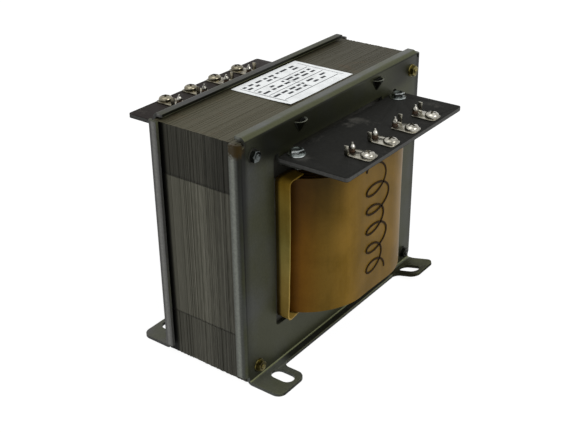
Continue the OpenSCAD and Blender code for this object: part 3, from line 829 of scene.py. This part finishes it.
class TRANSFORMER_OT_coil(bpy.types.Operator):
    """Winds the coil's paper layers and outer wrap, and draws a marker squiggle on it"""

    bl_idname = "transformer.coil"
    bl_label = "Wrap coil"

    def execute(self, context):
        look = context.scene.transformer_coil
        kraft = soaked_paper("Varnished kraft paper", look.kraft, look.kraft_dark, 0.42, shade=look.shaded)
        wire = soaked_paper("Varnished magnet wire", linear("#6e4420"), linear("#3d2611"), 0.35)
        board = soaked_paper("Varnished pressboard", look.fish_paper, look.kraft_dark, 0.5)
        foot, head = COIL_LOW.z, COIL_HIGH.z
        wrap = wound_sheet(0.3 * MM, foot + look.ripple, head, look.paper, look.lap, look.ripple)
        dressed(wrap, "kraft_wrap", "kraft_wrap", ["coil_wrap"], kraft, angle=40)
        gap = (COIL_HIGH.x - CORE_HIGH.x) / (COIL_LAYERS + 1)
        sunk, thin, uneven = 1.2 * MM, 0.4 * MM, 0.15 * MM
        layers = [
            wound_sheet(index * gap, foot + sunk, head - sunk, thin, 0, uneven, columns=120, rows=3)
            for index in range(1, COIL_LAYERS + 1)
        ]
        dressed(weld(*layers), "coil_paper_layers", "kraft_wrap", [], kraft, angle=40)
        for node, finish in (("coil_winding", wire), ("coil_tube", board)):
            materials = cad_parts[node].data.materials
            materials.clear()
            materials.append(finish)
        squiggle = self.squiggle(0.55 * MM)
        ink = coated_paper("Black marker ink", look.ink, 2.0, 0.7, sheen=0.2)
        dressed(squiggle, "marker_squiggle", "kraft_wrap", [], ink)
        return {"FINISHED"}

    def squiggle(self, half_width):
        """A loose looping line down the coil's front, as a thin ribbon on the paper."""
        top, bottom = COIL_HIGH.z - 5 * MM, COIL_LOW.z + 9 * MM
        middle_share = 0.5 + 2 * MM / around(0)

        def line(step):
            """Way round and height at a step from 0 to 1 along the squiggle."""
            turn = 2 * math.pi * 5.5 * step
            swing = (10.5 - 2.5 * step) * MM * math.cos(turn) + 2 * MM * math.sin(0.5 * turn)
            fall = top + (bottom - top) * step + (6.2 - 1.4 * math.sin(3 * step)) * MM * math.sin(turn)
            return Vector((middle_share * around(0) + swing, fall))

        def shape(step, side):
            """Place on the coil at a step along the ribbon, on one of its two sides."""
            ahead = (line(step + 0.002) - line(step - 0.002)).normalized()
            place = line(step) + Vector((-ahead.y, ahead.x)) * math.copysign(half_width, side - 0.5)
            point, out = wound(0, place.x / around(0))
            return point + out * 0.08 * MM + Vector((0, 0, place.y))

        return paper(260, 1, 0.3 * MM, shape)


class TRANSFORMER_OT_liners(bpy.types.Operator):
    """Folds the paper channels that line the outer sides of the windows"""

    bl_idname = "transformer.liners"
    bl_label = "Fold window liners"

    def execute(self, context):
        look = context.scene.transformer_coil
        fish = soaked_paper("Varnished fish paper", look.fish_paper, look.fish_dark, 0.45, FACE_X)
        for index, side in enumerate(SIDES):
            sign = -1 if side == "left" else 1
            piece = self.channel(look, index)
            moved(piece, Matrix.Diagonal((1, sign, 1, 1)))
            node = side + "_window_liner"
            dressed(piece, side + "_folded_liner", "liner_paper", [node], fish, angle=40)
        return {"FINISHED"}

    def channel(self, look, index):
        """A grid folded over and under the coil, wavy along the ends that stand out of the frame."""
        ledge = LINER_HIGH.y - LINER_LOW.y
        tall = LINER_HIGH.z - LINER_LOW.z
        fold = 2.4 * MM
        total = 2 * (ledge - fold) + (tall - 2 * fold) + math.pi * fold

        def shape(share, rise):
            """Place on the channel at shares of its length and of its width before folding."""
            end, run = 2 * share - 1, rise * total
            y, z, out, reach = self.section(run, total, ledge, fold)
            short = look.mitre * reach / ledge + look.taper * (LINER_HIGH.z - z) / tall
            x = end * (LINER_HIGH.x + look.flare - short)
            loose, ripple = abs(end) ** 6, look.ripple
            wave = noise.noise(Vector((run * per(22), 3.7 * math.copysign(1, end) + index * 9, 0.2)))
            x += math.copysign(1, end) * loose * ripple * 2 * (wave - 0.5)
            push = loose * ripple * 3 * noise.noise(Vector((run * per(28), index * 5 + end, 4.1)))
            return Vector((x, y, z)) + Vector((0, out[0], out[1])) * (push - ripple)

        return paper(60, 64, look.liner, shape)

    def section(self, run, total, ledge, fold):
        """Place, outward direction and reach into the window at a length along the folded section."""
        flip = run > total / 2
        run = total - run if flip else run
        flat, arc = ledge - fold, math.pi / 2 * fold
        if run < flat:
            y, z, out, reach = LINER_LOW.y + run, LINER_LOW.z, (0, -1), flat - run
        elif run < flat + arc:
            angle = (run - flat) / fold
            out = (math.sin(angle), -math.cos(angle))
            y, z, reach = LINER_HIGH.y - fold + out[0] * fold, LINER_LOW.z + fold + out[1] * fold, 0
        else:
            y, z, out, reach = LINER_HIGH.y, LINER_LOW.z + fold + run - flat - arc, (1, 0), 0
        if flip:
            z, out = LINER_LOW.z + LINER_HIGH.z - z, (out[0], -out[1])
        return y, z, out, reach


class TRANSFORMER_OT_boards(bpy.types.Operator):
    """Rounds the sawn edges of the terminal boards"""

    bl_idname = "transformer.boards"
    bl_label = "Dress terminal boards"

    def execute(self, context):
        look = context.scene.transformer_fastener
        black = {
            "front": phenolic("Black phenolic laminate", look.board),
            "rear": phenolic("Dusty phenolic laminate", look.board_dusty),
        }
        sawn = phenolic("Sawn phenolic edge", look.board_edge)
        for end in ENDS:
            node = end + "_terminal_board"
            piece = soften(from_node(node), 0.35 * MM, material=1)
            for face in piece.data.polygons:
                if abs(face.normal.z) < 0.1:
                    face.material_index = 1
            dressed(piece, end + "_phenolic_board", "phenolic_board", [node], black[end], sawn)
        return {"FINISHED"}


class TRANSFORMER_OT_terminals(bpy.types.Operator):
    """Stamps the terminal plates, each notched for its lead and with a prong bent up at its outer side"""

    bl_idname = "transformer.terminals"
    bl_label = "Stamp terminals"

    def execute(self, context):
        look = context.scene.transformer_fastener
        tin = {
            "front": plated("Tinned brass plate", look.tin, linear("#6f6b5d"), 0.2),
            "rear": plated("Tarnished tin plate", look.tarnish, linear("#3f3a2e"), 0.22),
        }
        low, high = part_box("front_terminal_3")
        screw = middle("front_terminal_screw_3")
        seat = Vector((screw.x, screw.y, low.z))
        plate = self.stamp(low - seat, high - seat)
        mirror = Matrix.Diagonal((1, -1, 1, 1))
        for end in ENDS:
            for index in TERMINALS:
                place = middle(f"front_terminal_screw_{index}")
                flip = mirror if place.y < 0 else Matrix.Identity(4)
                shift = Matrix.Translation((place.x, place.y, low.z))
                node = f"{end}_terminal_{index}"
                piece = duplicate(plate, TURN[end] @ shift @ flip)
                dressed(piece, f"{end}_terminal_plate_{index}", "tinned_plate", [node], tin[end], angle=40)
        bpy.data.objects.remove(plate)
        return {"FINISHED"}

    def stamp(self, low, high):
        """One plate with its screw at the origin and its prong on the +Y side."""
        thick, bend, prong = 0.8 * MM, 0.6 * MM, 2.2 * MM
        notch = Vector((low.x + prong / 2, -0.8 * MM, 0))
        shoulder = high.y - bend - thick
        plate = block((low.x, low.y, 0), (high.x, high.y, thick))
        with editing(plate):
            pick(plate, "EDGE", lambda at: at.x > high.x - SLACK and abs(at.z - thick / 2) < SLACK)
            bpy.ops.mesh.bevel(offset=2.5 * MM, segments=5)
        carve(plate, block((low.x - thick, shoulder, -thick), (low.x + prong, high.y + thick, 2 * thick)))
        carve(plate, block((low.x - thick, low.y - thick, -thick), (notch.x, notch.y, 2 * thick)))
        hole = turned(((1.85 * MM, -thick), (1.85 * MM, 2 * thick)), 28)
        carve(plate, moved(hole, Matrix.Translation(notch)))
        finger = block((low.x, shoulder - thick, 0), (low.x + prong, shoulder, thick))
        with editing(finger):
            pick(finger, "FACE", lambda at: at.y > shoulder - SLACK)
            spin = {"steps": 6, "angle": -math.pi / 2, "center": (0, shoulder, thick + bend)}
            bpy.ops.mesh.spin(axis=(1, 0, 0), use_auto_merge=False, **spin)
            rise = (0, 0, high.z - thick - bend)
            bpy.ops.mesh.extrude_region_move(TRANSFORM_OT_translate={"value": rise})
        return soften(weld(plate, mend(finger)), 0.12 * MM)


def hexagon(width, low, high, chamfer):
    """A hexagon across flats, its top corners turned off."""
    corner = width / math.sqrt(3)
    head = turned(((corner, low), (corner, high)), 6)
    wide = corner * 1.02
    tool = turned(((wide, low - chamfer), (wide, high - chamfer), (width * 0.46, high + SLACK)), 48)
    return carve(head, tool, "INTERSECT")


class TRANSFORMER_OT_screws(bpy.types.Operator):
    """Turns the pan head terminal screws and the hexagon washer head board screws"""

    bl_idname = "transformer.screws"
    bl_label = "Turn screws"

    def execute(self, context):
        look = context.scene.transformer_fastener
        draw = random.Random(SCREW_SEED)
        nickel = {
            "front": plated("Nickel plated steel", look.nickel, linear("#78756a"), 0.13),
            "rear": plated("Tarnished nickel plate", look.tarnish, linear("#5a5547"), 0.14),
        }
        zinc = plated("Bright zinc plated steel", look.zinc, linear("#5f6665"), 0.2)
        painted_reflection_zinc = plated("Zinc plate with painted dark reflection", linear("#59605c"), linear("#2c302d"), 0.3)
        pan = self.pan_head(look)
        washer_head = self.washer_head(look)
        for end in ENDS:
            rows = [(f"terminal_screw_{i}", pan, "nickel_screw", nickel[end]) for i in TERMINALS]
            rows += [(f"board_screw_{s}", washer_head, "zinc_screw", zinc, painted_reflection_zinc) for s in SIDES]
            for name, master, slot, *finishes in rows:
                at = middle("front_" + name)
                turn = Matrix.Rotation(draw.uniform(0, math.pi), 4, "Z")
                place = TURN[end] @ Matrix.Translation((at.x, at.y, 0)) @ turn
                piece = duplicate(master, place)
                dressed(piece, f"{end}_{name}_turned", slot, [f"{end}_{name}"], *finishes, angle=28)
        bpy.data.objects.remove(pan)
        bpy.data.objects.remove(washer_head)
        return {"FINISHED"}

    def pan_head(self, look):
        """A domed head with a cross recess on a threaded shank."""
        low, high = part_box("front_terminal_screw_1")
        radius = (high.x - low.x) / 2
        seat = high.z - 2.8 * MM
        edge = 0.9 * MM
        rise = high.z - seat - edge
        dome = [(radius * math.sin(a), seat + edge + rise * math.cos(a)) for a in
                (math.radians(90 - 10 * step) for step in range(9))]
        shank = thread(SCREW_RADIUS, low.z, seat, look.pitch)
        head = turned(shank + [(radius * 0.95, seat), (radius, seat + 0.2 * MM)] + dome, 40)
        half, arm = look.cross / 2, 0.55 * MM
        for size in ((half, arm), (arm, half)):
            carve(head, block((-size[0], -size[1], high.z - 1.5 * MM), (size[0], size[1], high.z + 1 * MM)))
        return head

    def washer_head(self, look):
        """A hexagon with a dished top on a round washer face and a threaded shank."""
        low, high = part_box("front_board_screw_left")
        radius = (high.x - low.x) / 2
        seat = BOARD_HIGH.z
        rim = seat + 0.9 * MM
        shank = thread(SCREW_RADIUS, low.z, seat, look.pitch)
        rounding = [(0.97, seat), (1.0, seat + 0.25 * MM), (0.96, rim - 0.2 * MM), (0.7, rim)]
        flange = turned(shank + [(radius * share, height) for share, height in rounding], 36)
        head = hexagon(HEX_WIDTH, rim - 0.1 * MM, high.z, 0.35 * MM)
        dip = ((0.9 * MM, high.z - 0.7 * MM), (2.1 * MM, high.z - 0.35 * MM), (2.3 * MM, high.z + 0.2 * MM))
        carve(head, turned(dip, 32))
        head = weld(flange, head)
        # The dish's faces get the zinc with a painted dark reflection.
        for face in head.data.polygons:
            if face.center.xy.length < 2.2 * MM and rim < face.center.z < high.z - 0.02 * MM:
                face.material_index = 1
        return head


class TRANSFORMER_OT_leads(bpy.types.Operator):
    """Runs the sleeved leads from the coil through the boards and caps each with solder"""

    bl_idname = "transformer.leads"
    bl_label = "Run leads"

    def execute(self, context):
        look = context.scene.transformer_fastener
        sleeve = braided("Varnished sleeving", look.sleeve)
        solder = plated("Tin lead solder", linear("#adaba3"), linear("#56544e"), 0.14, 0.9)
        low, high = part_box("front_leads")
        for end in ENDS:
            pieces = []
            for index in TERMINALS:
                screw = middle(f"front_terminal_screw_{index}")
                inward = -math.copysign(0.8 * MM, screw.y)
                foot = Vector((low.x + 1.5 * MM, screw.y + inward, WINDING_HIGH.z))
                top = Vector((high.x - 1.5 * MM, screw.y + inward, BOARD_LOW.z))
                pieces += self.lead(foot, top, high.z, index, sleeve, solder)
            for piece in pieces:
                moved(piece, TURN[end])
            dressed(weld(*pieces), end + "_sleeved_leads", "lead_sleeve", [end + "_leads"], angle=40)
        return {"FINISHED"}

    def lead(self, foot, top, tip, index, sleeve, solder):
        """A bent sleeve, the stub over the board and a lumpy solder cap with the wire end in it."""
        deselect()
        bpy.ops.curve.primitive_bezier_curve_add()
        curve = bpy.context.object
        rise = Vector((0, 0, (top.z - foot.z) * 0.55))
        for point, place in zip(curve.data.splines[0].bezier_points, (foot, top)):
            point.handle_left_type = point.handle_right_type = "FREE"
            point.co, point.handle_left, point.handle_right = place, place - rise, place + rise
        curve.data.bevel_depth = 1.15 * MM
        curve.data.bevel_resolution = 5
        only(curve)
        bpy.ops.object.convert(target="MESH")
        stub_top = BOARD_HIGH.z + 2.6 * MM
        stub = turned(
            ((1.35 * MM, top.z - 2.4 * MM), (1.5 * MM, top.z - 2.2 * MM),
             (1.5 * MM, stub_top), (1.2 * MM, stub_top)),
            24,
        )
        cap_low, reach = stub_top - 0.5 * MM, tip - stub_top
        cap = turned(
            ((1.25 * MM, cap_low), (1.7 * MM, cap_low + 0.55 * MM), (1.55 * MM, stub_top + reach * 0.28),
             (1.05 * MM, stub_top + reach * 0.5), (0.62 * MM, stub_top + reach * 0.68),
             (0.5 * MM, stub_top + reach * 0.95), (0.3 * MM, tip)),
            20,
        )
        for vertex in cap.data.vertices:
            lump = noise.noise(vertex.co * per(1.6) + Vector((index * 7.3, 0, 0)))
            vertex.co.xy *= 1 + 0.16 * lump
        modify(cap, "SUBSURF", levels=1, render_levels=1)
        pieces = [curve, stub, cap]
        for piece, finish in zip(pieces, (sleeve, sleeve, solder)):
            piece.data.materials.clear()
            piece.data.materials.append(finish)
        for piece in (stub, cap):
            moved(piece, Matrix.Translation((top.x, top.y, 0)))
        return pieces


class TRANSFORMER_OT_bolts(bpy.types.Operator):
    """Turns the core bolts, nuts and washers, each in the plating that it shows"""

    bl_idname = "transformer.bolts"
    bl_label = "Turn core bolts"

    def execute(self, context):
        look = context.scene.transformer_fastener
        draw = random.Random(BOLT_SEED)
        yellow = plated("Yellow zinc plated steel", look.yellow, linear("#36301a"), 0.28)
        silver = plated("Clear zinc plated steel", linear("#565b5a"), linear("#2b2d2c"), 0.12)
        black = plated("Oiled black steel", look.black, linear("#23231f"), 0.38)
        plating = {("upper", "left"): (silver, black), ("lower", "right"): (black, black)}
        along_x = Matrix.Rotation(math.pi / 2, 4, "Y")
        bolt_low, bolt_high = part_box("upper_left_core_bolt")
        wide = NUT_HIGH.y - NUT_LOW.y
        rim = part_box("bolt_washers")[1].y - middle("upper_right_core_nut").y
        nut = hexagon(wide, NUT_LOW.x, NUT_HIGH.x, 0.4 * MM)
        shank = turned(thread(BOLT_RADIUS, -bolt_high.x, -NUT_LOW.x, look.pitch), 28)
        head = hexagon(wide, NUT_LOW.x, -bolt_low.x, 0.4 * MM)
        bolt = moved(weld(shank, head), Matrix.Diagonal((1, 1, -1, 1)))
        hole = 1.7 * MM
        washer = turned(
            ((hole, FACE_X), (rim - 0.1 * MM, FACE_X), (rim, FACE_X + 0.2 * MM),
             (rim - 0.2 * MM, NUT_LOW.x), (hole, NUT_LOW.x)),
            40,
        )
        washers = []
        for level in LEVELS:
            for side in SIDES:
                name = f"{level}_{side}_core"
                at = middle(name + "_nut")
                finish, ring_finish = plating.get((level, side), (yellow, yellow))
                place = Matrix.Translation((0, at.y, at.z)) @ along_x
                spin = Matrix.Rotation(draw.uniform(0, math.pi), 4, "Z")
                for kind, master in (("nut", nut), ("bolt", bolt)):
                    node = f"{name}_{kind}"
                    piece = duplicate(master, place @ spin)
                    dressed(piece, node + "_turned", "yellow_zinc", [node], finish, angle=28)
                for turn in (Matrix.Identity(4), Matrix.Rotation(math.pi, 4, "X")):
                    ring = duplicate(washer, place @ turn)
                    ring.data.materials.append(ring_finish)
                    washers.append(ring)
        dressed(weld(*washers), "core_washers", "yellow_zinc", ["bolt_washers"], angle=28)
        for piece in (nut, bolt, washer):
            bpy.data.objects.remove(piece)
        return {"FINISHED"}


class TRANSFORMER_OT_label(bpy.types.Operator):
    """Sticks a white label on the core, with plain ruled lines and dashes for print"""

    bl_idname = "transformer.label"
    bl_label = "Stick label"

    def execute(self, context):
        white = coated_paper("White label stock", linear("#f9fcfc"), 7.0, 0.4)
        ink = coated_paper("Faded print", linear("#2b2d31"), 1.2, 0.6)
        sheet = paper(40, 60, 0.14 * MM, lambda across, along: self.on_label(across, along, 0.16 * MM))
        dressed(sheet, "paper_label", "label_paper", ["label"], white)
        dressed(self.print_marks(), "label_print", "label_paper", [], ink)
        return {"FINISHED"}

    def on_label(self, across, along, over):
        """A point on the label at shares of its width and length, a little over the core."""
        size = LABEL_HIGH - LABEL_LOW
        point = Vector((LABEL_LOW.x + across * size.x, LABEL_LOW.y + along * size.y, LABEL_LOW.z + over))
        curl = max(0.0, across + (1 - along) - 1.55)
        point.z += 0.05 * MM * noise.noise(point * per(9)) + 2.4 * MM * curl * curl + 0.12 * MM
        return point

    def print_marks(self):
        """Rows of dashes and ruled lines, as one mesh of small quads."""
        draw = random.Random(PRINT_SEED)
        margin, far_margin = 0.08, 0.92
        marks = []
        for row in range(9):
            across = 0.12 + 0.088 * row
            if row % 3 == 2:
                marks.append((across, margin, across + 0.012, far_margin))
                continue
            along = margin
            while along < 0.88:
                stroke = draw.uniform(0.03, 0.1)
                if draw.random() < 0.78:
                    marks.append((across - 0.022, along, across + 0.022, min(along + stroke, far_margin)))
                along += stroke + draw.uniform(0.018, 0.05)
        marks += [(0.1, 0.05, 0.9, 0.056), (0.1, 0.944, 0.9, 0.95), (0.12, 0.5, 0.83, 0.506)]
        points, faces = [], []
        for low_x, low_y, high_x, high_y in marks:
            start = len(points)
            steps = max(1, round((high_y - low_y) / 0.03))
            for step in range(steps + 1):
                along = low_y + (high_y - low_y) * step / steps
                points += [self.on_label(across, along, 0.19 * MM) for across in (low_x, high_x)]
            for step in range(steps):
                corner = start + 2 * step
                faces.append((corner, corner + 1, corner + 3, corner + 2))
        mesh = bpy.data.meshes.new("print")
        mesh.from_pydata(points, [], faces)
        return placed("print", mesh)


class TRANSFORMER_OT_stage(bpy.types.Operator):
    """Lays the pale floor and sets the soft studio light and the camera"""

    bl_idname = "transformer.stage"
    bl_label = "Set stage"

    def execute(self, context):
        look = context.scene.transformer_stage
        self.floor(look)
        self.world(look)
        self.lamp("key_lamp", (1.25, 0.1, 1.15), 0.9, look.key)
        self.lamp("top_lamp", (-0.2, -0.3, 1.5), 1.0, look.top)
        back = Vector((
            math.sin(look.azimuth) * math.cos(look.elevation),
            -math.cos(look.azimuth) * math.cos(look.elevation),
            math.sin(look.elevation),
        ))
        data = bpy.data.cameras.new("camera")
        data.lens, data.sensor_width = look.lens, 36.0
        data.clip_start, data.clip_end = 0.01, 100.0
        camera = placed("camera", data)
        camera.rotation_mode = "QUATERNION"
        camera.location = look.eye
        spin = Matrix.Rotation(look.roll, 3, "Z").to_quaternion()
        camera.rotation_quaternion = (-back).to_track_quat("-Z", "Y") @ spin
        bpy.context.scene.camera = camera
        bpy.context.scene.view_settings.view_transform = "Standard"
        return {"FINISHED"}

    def seen(self, tree):
        """1 for rays that show the background: straight, mirrored or through glass."""
        path = add(tree, "LightPath").outputs
        pair = add(tree, "Math", {0: path["Is Camera Ray"], 1: path["Is Glossy Ray"]}, operation="MAXIMUM")
        return add(tree, "Math", {0: pair, 1: path["Is Transmission Ray"]}, operation="MAXIMUM")

    def floor(self, look):
        """A wide pale floor that shows nearly white and keeps a faint shadow."""
        deselect()
        bpy.ops.mesh.primitive_plane_add(size=30)
        floor = bpy.context.object
        floor.name = "studio_floor"
        moved(floor, Matrix.Translation((0, 0, FRAME_LOW.z - 0.05 * MM)))
        material = bpy.data.materials.new("Matt white floor")
        material.use_nodes = True
        tree = material.node_tree
        tree.nodes.clear()
        matt = add(tree, "BsdfDiffuse", {"Color": grey(0.92)})
        glow = add(tree, "Emission", {"Color": grey(1.0), "Strength": 1.1})
        share = add(tree, "Math", {0: self.seen(tree), 1: look.lift}, operation="MULTIPLY")
        mixed = add(tree, "MixShader", {0: share, 1: matt, 2: glow})
        add(tree, "OutputMaterial", {"Surface": mixed})
        floor.data.materials.append(material)

    def world(self, look):
        """Even white light, full white where the background shows."""
        world = bpy.data.worlds.new("Studio")
        world.use_nodes = True
        tree = world.node_tree
        tree.nodes.clear()
        strength = add(tree, "MapRange", {"Value": self.seen(tree), "To Min": look.ambient, "To Max": 1.0})
        sky = add(tree, "Background", {"Color": grey(1.0), "Strength": strength})
        add(tree, "OutputWorld", {"Surface": sky})
        bpy.context.scene.world = world

    def lamp(self, name, place, size, power):
        """A square soft box that looks at the middle of the object."""
        data = bpy.data.lights.new(name, "AREA")
        data.energy, data.size = power, size
        lamp = placed(name, data)
        lamp.location = place
        lamp.rotation_mode = "QUATERNION"
        lamp.rotation_quaternion = (Vector((0, 0, 0.07)) - Vector(place)).to_track_quat("-Z", "Y")


class TRANSFORMER_PT_panel(bpy.types.Panel):
    """Lists the steps and their sizes and colours"""

    bl_idname = "TRANSFORMER_PT_panel"
    bl_label = "Control transformer"
    bl_space_type = "VIEW_3D"
    bl_region_type = "UI"
    bl_category = "Transformer"

    def draw(self, context):
        for operator in OPERATORS:
            self.layout.operator(operator.bl_idname)
        for name, group in LOOKS.items():
            box = self.layout.box()
            box.label(text=group.__doc__)
            for key in group.__annotations__:
                box.prop(getattr(context.scene, name), key)


LOOKS = {
    "transformer_core": CoreLook,
    "transformer_frame": FrameLook,
    "transformer_coil": CoilLook,
    "transformer_fastener": FastenerLook,
    "transformer_stage": StageLook,
}
OPERATORS = (
    TRANSFORMER_OT_core,
    TRANSFORMER_OT_frames,
    TRANSFORMER_OT_coil,
    TRANSFORMER_OT_liners,
    TRANSFORMER_OT_boards,
    TRANSFORMER_OT_terminals,
    TRANSFORMER_OT_screws,
    TRANSFORMER_OT_leads,
    TRANSFORMER_OT_bolts,
    TRANSFORMER_OT_label,
    TRANSFORMER_OT_stage,
)


def register():
    """Registers the property groups, operators and panel."""
    for name, group in LOOKS.items():
        bpy.utils.register_class(group)
        setattr(bpy.types.Scene, name, PointerProperty(type=group))
    for item in (*OPERATORS, TRANSFORMER_PT_panel):
        bpy.utils.register_class(item)


def unregister():
    """Takes back what register did."""
    for item in (TRANSFORMER_PT_panel, *reversed(OPERATORS)):
        bpy.utils.unregister_class(item)
    for name, group in reversed(LOOKS.items()):
        delattr(bpy.types.Scene, name)
        bpy.utils.unregister_class(group)


def main():
    """Builds every piece in order."""
    register()
    bpy.ops.transformer.core()
    bpy.ops.transformer.frames()
    bpy.ops.transformer.coil()
    bpy.ops.transformer.liners()
    bpy.ops.transformer.boards()
    bpy.ops.transformer.terminals()
    bpy.ops.transformer.screws()
    bpy.ops.transformer.leads()
    bpy.ops.transformer.bolts()
    bpy.ops.transformer.label()
    bpy.ops.transformer.stage()
    deselect()


if __name__ == "__main__":
    main()
